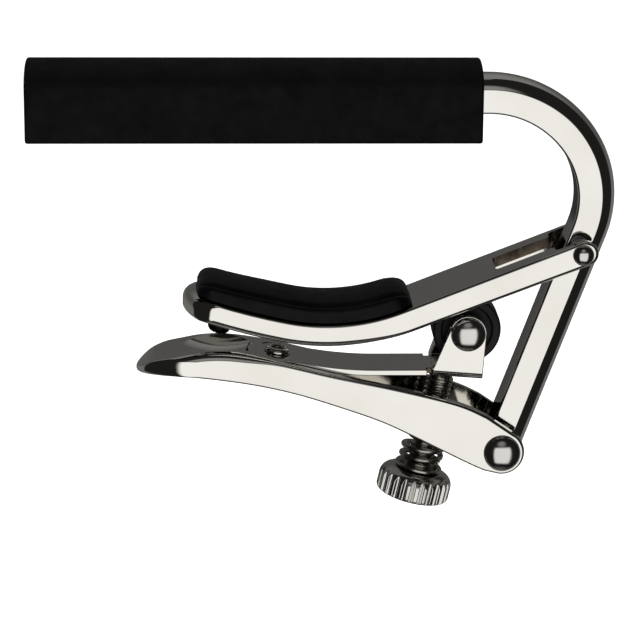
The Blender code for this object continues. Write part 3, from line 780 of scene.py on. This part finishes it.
def jaw_channel():
    stations = jaw_stations()
    left = stations[0][0][0]
    top = offset(stations, 0.0)
    height, thick = changing(JAW_HEIGHTS, JAW_DEEPENS), JAW_HEIGHTS[1]
    bottom = offset(stations, lambda share: -height(share))
    tilt = math.degrees(JAW_TILT)
    along = ahead(JAW_TILT)
    middle = JAW_PIVOT + JAW_END * along + (JAW_RISE - thick / 2) * left_of(JAW_TILT)
    end = (middle, thick / 2, 90 + tilt, tilt - 90)
    edges = (lambda x: THIN_EDGE, changing(JAW_EDGES, (12 * MM, 20 * MM)))
    corners = (1.4 * MM, 0.5 * MM)
    jaw = made_of(NICKEL, filleted("jaw", top, bottom, end, JAW_WIDTH / 2, left, JAW_NOSE, corners, edges))

    inner_half = JAW_WIDTH / 2 - JAW_WALL
    ears_left = JAW_PIVOT[0] - EAR_LENGTH
    ears = rounded_end(ears_left, FAR_RIGHT, inner_half, 0.8 * MM, steps=4)
    jaw = cut(jaw, plan_cutter("ears", ears), SHADED_INSIDE)
    slot_left = JAW_PIVOT[0] - SLOT_LENGTH * math.cos(JAW_TILT)
    slot = rounded_end(slot_left, FAR_RIGHT, SLOT_WIDTH / 2, 0.5 * MM, steps=4)
    jaw = cut(jaw, plan_cutter("slot", slot), SHADED_INSIDE)
    inner = oval_end(left + JAW_WALL, ears_left + 1 * MM, inner_half, JAW_NOSE - 0.6 * JAW_WALL)
    # The web's underside takes the darker inside colour, painted shade; the walls below BUFFED_DEPTH stay
    # polished nickel.
    upper_part = (SHADED_INSIDE, JAW_WEB, BUFFED_DEPTH + 0.1 * MM)
    lower_part = (NICKEL, BUFFED_DEPTH, 30 * MM)
    for material, depth, floor_depth in (upper_part, lower_part):
        under, lower = offset(stations, -depth), offset(stations, -floor_depth)
        far_ends = [line[-1] + 20 * MM * along for line in (under, lower)]
        cavity = plate("cavity", [*under, *far_ends, *reversed(lower)], WIDE)
        jaw = cut(jaw, within(cavity, inner), material)
    jaw = drilled(jaw, JAW_HOLE, JAW_PIVOT)
    for place in PEG_ALONG:
        jaw = combine(jaw, peg("peg_hole", place, PEG_RADIUS + GAP, -6 * MM, 3 * MM))
    placed(smoothed(jaw), "jaw", "jaw", "jaw_channel", NICKEL)


def pad_section():
    """The pad's cross-section, as (share of half width, height in mm).

    An upright flange is followed by a crease and a low crown.
    """
    half = [(1.0, 0.15), (1.0, 1.0), (0.995, 1.65), (0.965, 1.98), (0.91, 2.1), (0.86, 2.05), (0.82, 1.95),
            (0.78, 2.05), (0.71, 2.42), (0.55, 2.66), (0.3, 2.84), (0.0, 2.9)]
    upper = smooth(half, 4)
    return [(-y, h) for y, h in upper] + [(y, h) for y, h in reversed(upper[:-1])]


def jaw_pad():
    """A rubber cushion along the saddle, held by two pegs through the web."""
    first, last = PAD_SPAN
    length, count = last - first, 56
    left_end, right_end = (0.0, 0.004, 0.012, 0.025, 0.045), (0.955, 0.975, 0.988, 0.996, 1.0)
    rings = []
    for share in (*left_end, *[i / count for i in range(3, count - 2)], *right_end):
        at_left = share < 0.5
        edge = (share if at_left else 1 - share) * length
        reach = PAD_ROUND if at_left else 1.35 * PAD_ROUND
        fall = 1 - math.sqrt(max(0.0, 1 - (1 - min(edge / reach, 1)) ** 2.4))
        point, heading = jaw_point(first + length * share)
        up = left_of(heading)
        half = PAD_WIDTH / 2 - 0.75 * PAD_ROUND * fall
        taper = 0.88 + 0.12 * eased(share, 0.05, 0.35)
        section = []
        for y, height in pad_section():
            height = GAP + (height * MM - GAP) * (1 - 0.72 * fall) * taper
            section.append((point[0] + height * up[0], -y * half, point[1] + height * up[1]))
        rings.append(section)
    pad = lofted("pad", rings)
    for along, reach in zip(PEG_ALONG, (PEG_LENGTH, 0.6 * PEG_LENGTH)):
        pad = combine(pad, peg("peg", along, PEG_RADIUS, -reach, 1.0 * MM, 0.9 * MM), "UNION")
    placed(smoothed(pad, 0.12 * MM, 2, 60), "pad", "jaw", "jaw_pad", PAD_RUBBER)


# ---------------- lever


def lever_lines():
    """The lever's upper and lower lines in side view, and the cavity between its walls."""
    rim = millimetres([(-13.0, -28.85), (-9.7, -28.05), (-6.5, -27.5), (-3.0, -27.5), (0.6, -28.1),
                       (5.6, -29.3), (10.5, -30.5), (18.8, -32.3), (26.3, -34.25), (30.2, -36.0)])
    belly = millimetres([(-9.7, -30.6), (-5.0, -31.0), (0.5, -31.85), (5.6, -33.05), (10.75, -34.7),
                         (15.9, -36.55), (20.0, -38.45), (27.7, -42.4), (30.0, -43.45)])
    inside = millimetres([(1.4, -29.15), (3.0, -29.75), (6.5, -30.5), (9.5, -32.3), (13.0, -34.1),
                          (16.5, -35.5), (20.6, -37.3), (25.1, -39.6), (27.2, -40.7)])
    rim = smooth([TAB_TIP, *rim])
    belly = smooth([(TAB_TIP[0] + 0.1 * MM, TAB_TIP[1] - 0.7 * MM), *belly])
    left, above = 1.2 * MM, -24 * MM
    x, z = LEVER_PIVOT[0] - LEVER_OPEN_RADIUS, LEVER_PIVOT[1]
    below = z - 9 * MM
    mouth = [(x, z + 0.4 * MM), (x, below), (FAR_RIGHT, below), (FAR_RIGHT, above), (left, above)]
    return rim, belly, [(left, -29.15 * MM), *smooth(inside, 5), *mouth]


def thumb_dish(rim):
    """A spoon-shaped hollow in the tab's top, under the pad's peg."""
    left, right = DISH_SPAN
    middle, reach = (left + right) / 2, (right - left) / 2
    turns = [i / 24 - 1 for i in range(49)]
    rings = []
    for x, z in from_x(rim, left + 0.02 * MM, 120):
        if x > right - 0.02 * MM:
            break
        share = math.sqrt(max(0.0, 1 - ((x - middle) / reach) ** 2))
        half = DISH_HALF * share
        hollow = [(x, half * y, z - DISH_DEPTH * share**2 * (1 - y * y)) for y in turns]
        rings.append([*hollow, (x, half, OVERHEAD), (x, -half, OVERHEAD)])
    return lofted("dish", rings)


def strap_seat():
    """A flat bed for the strap's root, cut into the lever's top."""
    root = arm_stations()[0][0]
    left, right = root[0] - 2 * MM, 4 * MM
    bed = [point for point in offset(arm_stations(), -ARM_THICKNESS - 0.12 * MM) if point[0] < right]
    outline = [(left, root[1] + 0.33 * MM), *bed, (right, OVERHEAD), (left, OVERHEAD)]
    plan = oval_end(root[0] - 0.22 * MM, right, ARM_WIDTH / 2 + 0.25 * MM, ARM_WIDTH / 2 + 0.2 * MM)
    return within(plate("strap_seat", outline, WIDE), plan)


def lever_channel():
    rim, belly, cavity = lever_lines()
    end = (LEVER_PIVOT, LEVER_END, 62, -98)
    edges = (changing(TAB_EDGES, (-2.5 * MM, 4.5 * MM)), lambda x: THIN_EDGE)
    corners = (1.2 * MM, 0.8 * MM)
    lever = filleted("lever", rim, belly, end, LEVER_WIDTH / 2, TAB_TIP[0], TAB_REACH, corners, edges)
    lever = cut(made_of(NICKEL, lever), thumb_dish(rim), NICKEL)
    lever = cut(lever, strap_seat(), NICKEL)
    half = LEVER_WIDTH / 2 - LEVER_WALL
    inner = rounded_end(0.2 * MM, FAR_RIGHT + 1 * MM, half, half - 0.1 * MM, 24)
    lever = cut(lever, within(plate("hollow", cavity, WIDE), inner), SHADED_INSIDE)
    lever = drilled(lever, LEVER_HOLE, LEVER_PIVOT)
    lever = combine(lever, on_screw(cylinder("bush_hole", BUSH_RADIUS, 4 * MM, 14 * MM)))
    lever = combine(lever, on_strap(cylinder("rivet_hole", ARM_HOLE, -2.6 * MM, 3 * MM)))
    placed(smoothed(lever), "lever", "lever", "lever_channel", NICKEL)


def on_strap(obj):
    """Puts a shape turned about Z square to the strap at its rivet, with height 0 at its top face."""
    return put(obj, ARM_ROOT, Matrix.Rotation(-ARM_TILT, 4, "Y"))


def screw_bush():
    bore = SCREW_RADIUS + 0.05 * MM
    bush = ring("bush", bore, BUSH_RADIUS - GAP, 7.85 * MM, 10.9 * MM, 0.25 * MM)
    placed(smoothed(on_screw(bush)), "bush", "lever", "screw_bush", STEEL)


def strap_rivet():
    """A hollow rivet: a rolled ring round a blind hole, with room under it for the strap to tilt."""
    room, shank, foot = 0.13 * MM, 0.9 * MM, -2.4 * MM
    blind_hole = millimetres([(0, -0.75), (0.6, -0.7), (0.8, -0.3)])
    lip = arc((1.25 * MM, room), 0.5 * MM, 150, 0, 12)
    piece = on_strap(turned("rivet", [*blind_hole, *lip, (shank, room), (shank, foot), (0, foot)]))
    placed(smoothed(piece), "arm_rivet", "lever", "strap_rivet", DOME)


# ---------------- roller arm


def arm_stations():
    """The strap's top line: straight at its root, then bent level under the roller."""
    start = ARM_ROOT - ARM_LEFT * ahead(ARM_TILT)
    stretches = [("line", ARM_LEFT + ARM_STRAIGHT), ("arc", ARM_BEND, -math.degrees(ARM_TILT))]
    stations = walk(start, ARM_TILT, stretches, step_angle=0.5)
    level = stations[-1][0][1]
    slope = math.atan2(-FOOT_DROP, ARM_BASE_END - EAR_FOOT)
    return [*stations, (Vector((EAR_FOOT, level)), 0.0), (Vector((ARM_BASE_END, level - FOOT_DROP)), slope)]


def roller_arm():
    stations = arm_stations()
    outline = [*offset(stations, 0.0), *reversed(offset(stations, -ARM_THICKNESS))]
    plan = rounded_end(stations[0][0][0], ARM_BASE_END, ARM_WIDTH / 2, ARM_WIDTH / 2 - 0.05 * MM, steps=30)
    plan_height = 60 * MM
    arm = within(made_of(NICKEL, plate("arm", outline, ARM_WIDTH / 2)), plan, plan_height)
    inner = EAR_OUTER - EAR_THICKNESS + 0.05 * MM
    left, right, outside = EAR_FOOT - NOTCH_WIDTH, ARM_BASE_END + 1 * MM, 6 * MM
    notch = [(left, NOTCH_INNER), (EAR_FOOT, NOTCH_INNER), (EAR_FOOT, inner), (right, inner),
             (right, outside), (left, outside)]
    for side in (-1, 1):
        arm = cut(arm, plan_cutter("notch", [(x, side * y) for x, y in notch]), SHADED_INSIDE)
    base = stations[-2][0][1] - ARM_THICKNESS
    for side in (-1, 1):
        arm = combine(arm, made_of(NICKEL, clevis_ear(side, base)), "UNION")
    arm = drilled(arm, ARM_HOLE, ROLLER_AXLE)
    arm = combine(arm, on_strap(cylinder("strap_hole", ARM_HOLE, -3 * MM, 3 * MM)))
    placed(smoothed(arm, 0.1 * MM), "arm", "arm", "roller_arm", NICKEL)


def clevis_ear(side, base):
    """An ear folded up from the base: a wide round along the fold, and an end round about the axle."""
    fold, rim = 1.1 * MM, 0.12 * MM
    folding = [EAR_THICKNESS - fold * (1 - math.sin(math.radians(a))) for a in range(20, 91, 7)]
    rings = []
    for depth in (0.0, *folding):
        y = EAR_OUTER - EAR_THICKNESS + depth
        low, back = inset(fold, y, EAR_OUTER), inset(rim, y, EAR_OUTER)
        outline = [(EAR_FOOT + back, base + low), (ARM_BASE_END - back, base + low - FOOT_DROP)]
        outline += arc(ROLLER_AXLE, EAR_TOP - back, 2, 157, 36)
        rings.append([(x, side * y, z) for x, z in outline])
    return lofted("ear", rings)


def roller():
    r, h, chamfer = ROLLER_RADIUS, ROLLER_HALF_WIDTH, 0.45 * MM
    face = h - 0.35 * MM
    half = [(ROLLER_BORE, face), (3.15 * MM, face), (3.3 * MM, h - 0.25 * MM), (3.42 * MM, h),
            *arc((r - chamfer, h - chamfer), chamfer, 90, 0, 6)]
    tyre = smoothed(across(turned("tyre", mirrored(half), closed=True), ROLLER_AXLE))
    placed(tyre, "tyre", "roller", "roller_tyre", NYLON)
    hub = ring("hub", 1.08 * MM, ROLLER_BORE - 0.1 * MM, -h, h)
    placed(smoothed(across(hub, ROLLER_AXLE)), "hub", "roller", "roller_bush", STEEL)


# ---------------- screw, knob and spring


def thumb_knob():
    """A fluted knob with a domed shoulder and a bore for the screw."""
    points = []
    for angle in circle(14 * FLUTES):
        groove = max(0.0, math.cos(FLUTES * angle) + 0.25) / 1.25
        radius = KNOB_RADIUS - 0.42 * MM * groove**0.7
        points.append((radius * math.cos(angle), radius * math.sin(angle)))
    body = plate("knob", points, 5 * MM, side_view=False)
    top, r = KNOB_HEIGHT, KNOB_RADIUS
    bore = SCREW_RADIUS - 0.2 * MM
    crown = smooth([(2.6 * MM, KNOB_TOP), (3.4 * MM, KNOB_TOP - 0.12 * MM), (4.1 * MM, top + 0.62 * MM),
                    (4.6 * MM, top + 0.2 * MM), (r + 0.02 * MM, top - 0.45 * MM)], 5)
    foot = arc((r - 0.6 * MM, 0.6 * MM), 0.62 * MM, 0, -90, 6)
    envelope = turned("envelope", [(bore, KNOB_TOP), *crown, *foot, (bore, 0)], closed=True)
    body = combine(body, envelope, "INTERSECT")
    placed(smoothed(on_screw(body), 0.05 * MM, 2, 40), "knob", "screw", "thumb_knob", DOME)


def adjusting_screw():
    """A shank with a helical thread, necked down where it sits in the knob."""
    steps, crest, root = 40, SCREW_RADIUS, SCREW_RADIUS - 0.28 * MM
    foot, neck = KNOB_TOP + GAP, SCREW_RADIUS - 0.2 * MM - GAP
    rows = round((SCREW_LENGTH - foot) / THREAD_PITCH * 10)
    rings = [[(neck * math.cos(a), neck * math.sin(a), z) for a in circle(steps)] for z in (0.3 * MM, foot)]
    for i in range(rows + 1):
        z = foot + (SCREW_LENGTH - foot) * i / rows
        ring_points = []
        for a in circle(steps):
            turn = (z / THREAD_PITCH - a / (2 * math.pi)) % 1.0
            ridge = min(1.0, max(0.0, 1.6 - abs(turn - 0.5) * 4.0))
            chamfer = min(1.0, (SCREW_LENGTH - z) / (0.5 * MM))
            radius = (root + (crest - root) * ridge) * (0.72 + 0.28 * chamfer)
            ring_points.append((radius * math.cos(a), radius * math.sin(a), z))
        rings.append(ring_points)
    screw = smoothed(on_screw(lofted("screw", rings)))
    placed(screw, "screw", "screw", "adjusting_screw", STEEL)


def spring_seat():
    """A collar under the spring: a step inside its coils on a flange."""
    base, inner = KNOB_TOP + GAP, SCREW_RADIUS + 0.12 * MM
    top, ledge = base + 0.9 * MM, base + FLANGE_TOP
    step, flange, edge = SPRING_RADIUS - SPRING_WIRE - 0.12 * MM, 3.1 * MM, 0.1 * MM
    profile = [(inner, top), (step - edge, top), (step, top - edge), (step, ledge),
               (flange - 0.12 * MM, ledge), (flange, ledge - 0.12 * MM), (flange, base + edge),
               (flange - edge, base), (inner, base)]
    seat = smoothed(on_screw(turned("seat", profile, closed=True)))
    placed(seat, "seat", "screw_slider", "spring_seat", STEEL)


def tension_spring():
    """A round-wire helix whose ends lie nearly flat, stretching between the lever and its seat."""
    low = KNOB_TOP + GAP + FLANGE_TOP + SPRING_WIRE + GAP
    high, per_turn = 7.3 * MM, 48
    count = round(per_turn * SPRING_TURNS)
    up = Vector((0, 0, 1))
    rings = []
    for i in range(count + 1):
        share = i / count
        climb = share - 0.035 * math.sin(2 * math.pi * share)
        angle, z = 2 * math.pi * i / per_turn, low + (high - low) * climb
        out = Vector((math.cos(angle), math.sin(angle), 0))
        wire = SPRING_WIRE * min(1.0, 0.35 + min(i, count - i) / 3)
        middle = SPRING_RADIUS * out + z * up
        rings.append([middle + wire * (out * math.cos(a) + up * math.sin(a)) for a in circle(16)])
    spring = smoothed(on_screw(lofted("spring", rings)))
    spring.name = spring.data.name = "spring"
    spring.data.materials.append(STEEL)
    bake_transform(spring)
    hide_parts("tension_spring")


# ---------------- studio


def floor():
    """A wide pale floor that the opened lever clears. Metal reflects the studio's cards instead of it."""
    size = 3.0
    mesh = bpy.data.meshes.new("floor")
    z = CAD_LOW[2] - LEVER_DROP
    corners = [(-size, -size, z), (size, -size, z), (size, size, z), (-size, size, z)]
    mesh.from_pydata(corners, [], [(0, 1, 2, 3)])
    obj = linked("floor", mesh)
    nodes = Nodes("pale_floor", (0.93, 0.93, 0.92), 0.9)
    nodes.use("Base Color", nodes.blend(nodes.noise(60 * MM, 2.0), (0.92, 0.92, 0.915), (0.94, 0.94, 0.935)))
    nodes.shader.inputs["Specular IOR Level"].default_value = 0.0
    obj.data.materials.append(nodes.material)
    obj.visible_glossy = False


class Sky:
    """The studio as seen in reflections: a grey room with soft white and black cards, by direction."""

    def __init__(self):
        world = bpy.data.worlds.new("studio")
        bpy.context.scene.world = world
        world.use_nodes = True
        self.tree = world.node_tree
        self.tree.nodes.clear()
        self.direction = self.tree.nodes.new("ShaderNodeTexCoord").outputs["Generated"]
        split = self.tree.nodes.new("ShaderNodeSeparateXYZ")
        self.tree.links.new(self.direction, split.inputs[0])
        self.height = split.outputs["Z"]

    def math(self, operation, *values):
        node = self.tree.nodes.new("ShaderNodeMath")
        node.operation = operation
        for socket, value in zip(node.inputs, values):
            if isinstance(value, (int, float)):
                socket.default_value = value
            else:
                self.tree.links.new(value, socket)
        return node.outputs[0]

    def step(self, value, low, high):
        return map_range(self.tree, value, 0.0, 1.0, low, high, "SMOOTHSTEP")

    def above(self, elevation, soft):
        """1 above an elevation and 0 below it, or the other way round with a negative soft."""
        low, high = math.radians(elevation - soft), math.radians(elevation + soft)
        return self.step(self.height, math.sin(low), math.sin(high))

    def toward(self, azimuth, elevation):
        """The cosine of the angle to a direction. Azimuth 0 is in front and 90 at the object's right."""
        a, e = math.radians(azimuth), math.radians(elevation)
        node = self.tree.nodes.new("ShaderNodeVectorMath")
        node.operation = "DOT_PRODUCT"
        self.tree.links.new(self.direction, node.inputs[0])
        node.inputs[1].default_value = (math.sin(a) * math.cos(e), -math.cos(a) * math.cos(e), math.sin(e))
        return node.outputs["Value"]

    def disc(self, elevation, half_angle, soft):
        """A round card's mask, in front of the object."""
        low, high = math.radians(half_angle + soft), math.radians(half_angle - soft)
        return self.step(self.toward(0, elevation), math.cos(low), math.cos(high))

    def card(self, azimuth, half_width, low, high, soft=2.5):
        """A card's mask, between two elevations. With no low it reaches straight down."""
        squared = self.math("MULTIPLY", self.height, self.height)
        level = self.math("SQRT", self.math("SUBTRACT", 1.0001, squared))
        across_card = self.math("ARCCOSINE", self.math("DIVIDE", self.toward(azimuth, 0), level))
        inside = self.step(across_card, math.radians(half_width + soft), math.radians(half_width - soft))
        inside = self.math("MULTIPLY", inside, self.above(high, -soft))
        if low is None:
            return inside
        return self.math("MULTIPLY", inside, self.above(low, soft))


def studio():
    sky = Sky()
    low = map_range(sky.tree, sky.height, 0.085, 0.0, -0.25, 0.2)
    level = sky.math("ADD", low, map_range(sky.tree, sky.height, 0.085, 0.21, 0.45, 0.85))
    for mask, brightness in (
        (sky.card(3, 105, None, 84), 0.013),
        (sky.card(4, 30, -46, 12, 5), 1.0),
        (sky.disc(33, 13, 8), 0.25),
        (sky.card(0, 60, -86, -68), 0.1),
        (sky.card(180, 18, -50, -4, 6), 0.03),
    ):
        kept = sky.math("MULTIPLY", level, sky.math("SUBTRACT", 1.0, mask))
        level = sky.math("ADD", kept, sky.math("MULTIPLY", mask, brightness))
    new, link = sky.tree.nodes.new, sky.tree.links.new
    color = new("ShaderNodeMix")
    color.data_type = "RGBA"
    color.blend_type = "MULTIPLY"
    color.inputs["Factor"].default_value = 1.0
    color.inputs["A"].default_value = (1.0, 0.99, 0.965, 1.0)
    link(level, color.inputs["B"])
    studio_light = new("ShaderNodeBackground")
    link(color.outputs["Result"], studio_light.inputs["Color"])
    backdrop = new("ShaderNodeBackground")
    backdrop.inputs["Color"].default_value = (1.0, 1.0, 1.0, 1.0)
    seen = new("ShaderNodeLightPath")
    mix = new("ShaderNodeMixShader")
    output = new("ShaderNodeOutputWorld")
    link(seen.outputs["Is Camera Ray"], mix.inputs[0])
    link(studio_light.outputs[0], mix.inputs[1])
    link(backdrop.outputs[0], mix.inputs[2])
    link(mix.outputs[0], output.inputs["Surface"])


def soft_light(name, kind, energy):
    """A light that isn't seen in reflections."""
    data = bpy.data.lights.new(name, kind)
    data.energy = energy
    obj = linked(name, data)
    obj.visible_glossy = False
    return obj


def area_light(name, place, size, energy, aim):
    obj = soft_light(name, "AREA", energy)
    obj.data.shape = "DISK"
    obj.data.size = size
    obj.location = place
    obj.rotation_euler = (Vector(aim) - Vector(place)).to_track_quat("-Z", "Y").to_euler()


def lights():
    sun = soft_light("sky_fill", "SUN", 2.9)
    sun.data.angle = math.radians(120)
    sun.rotation_euler = (math.radians(12), math.radians(-8), 0)
    area_light("top_box", (-0.15, -0.1, 0.6), 0.5, 4.0, (0, 0, -0.02))
    area_light("front_box", (0.25, -0.6, 0.35), 0.4, 2.0, (0, 0, -0.02))


def camera():
    """A long lens a little above and left of the front, rolled to set the sleeve level."""
    azimuth, elevation, roll = math.radians(2.1), math.radians(15.5), math.radians(-0.4)
    distance, aim = 0.351, Vector((7.702 * MM, 0, -23.5 * MM))
    level = math.cos(elevation)
    forward = Vector((math.sin(azimuth) * level, math.cos(azimuth) * level, -math.sin(elevation)))
    right = Vector((math.cos(azimuth), -math.sin(azimuth), 0))
    up = right.cross(forward)
    across_view = math.cos(roll) * right - math.sin(roll) * up
    up_view = math.sin(roll) * right + math.cos(roll) * up
    data = bpy.data.cameras.new("camera")
    data.sensor_width = 36
    data.lens = 155.3
    data.clip_start, data.clip_end = 0.01, 20
    obj = linked("camera", data)
    turn = Matrix((across_view, up_view, -forward)).transposed().to_4x4()
    obj.matrix_world = Matrix.Translation(aim - distance * forward) @ turn
    bpy.context.scene.camera = obj


def build():
    bar_side = BAR_WIDTH / 2 + SIDE_GAP
    jaw_side, lever_side = JAW_WIDTH / 2, LEVER_WIDTH / 2
    frame_bar()
    fret_sleeve()
    rivet("jaw_rivet", "jaw_pivot_rivet", "frame", JAW_PIVOT, 0.9 * MM, 1.35 * MM, jaw_side + SIDE_GAP,
          0.85 * MM)
    rivet("lever_rivet", "lever_pivot_rivet", "frame", LEVER_PIVOT, 1.25 * MM, 2.4 * MM,
          lever_side + SIDE_GAP, 1.25 * MM)
    # The jaw's spacers are made black like the roller, as painted shade in the gap between the bar and the
    # jaw's walls.
    washers("jaw_spacer", "jaw_washer", "frame", JAW_PIVOT, 1.0 * MM, 1.4 * MM, bar_side,
            jaw_side - JAW_WALL - SIDE_GAP, NYLON)
    washers("lever_spacer", "lever_washer", "frame", LEVER_PIVOT, 1.4 * MM, 2.3 * MM, bar_side,
            lever_side - LEVER_WALL - SIDE_GAP)
    jaw_channel()
    jaw_pad()
    lever_channel()
    screw_bush()
    strap_rivet()
    roller_arm()
    rivet("axle", "roller_axle", "arm", ROLLER_AXLE, 1.0 * MM, 2.25 * MM, EAR_OUTER + SIDE_GAP, 1.1 * MM)
    washers("roller_spacer", "roller_washer", "arm", ROLLER_AXLE, 1.1 * MM, 2.1 * MM,
            ROLLER_HALF_WIDTH + SIDE_GAP, EAR_OUTER - EAR_THICKNESS - SIDE_GAP)
    roller()
    thumb_knob()
    adjusting_screw()
    spring_seat()
    tension_spring()


bpy.context.scene.view_settings.view_transform = "Standard"
build()
floor()
studio()
lights()
camera()
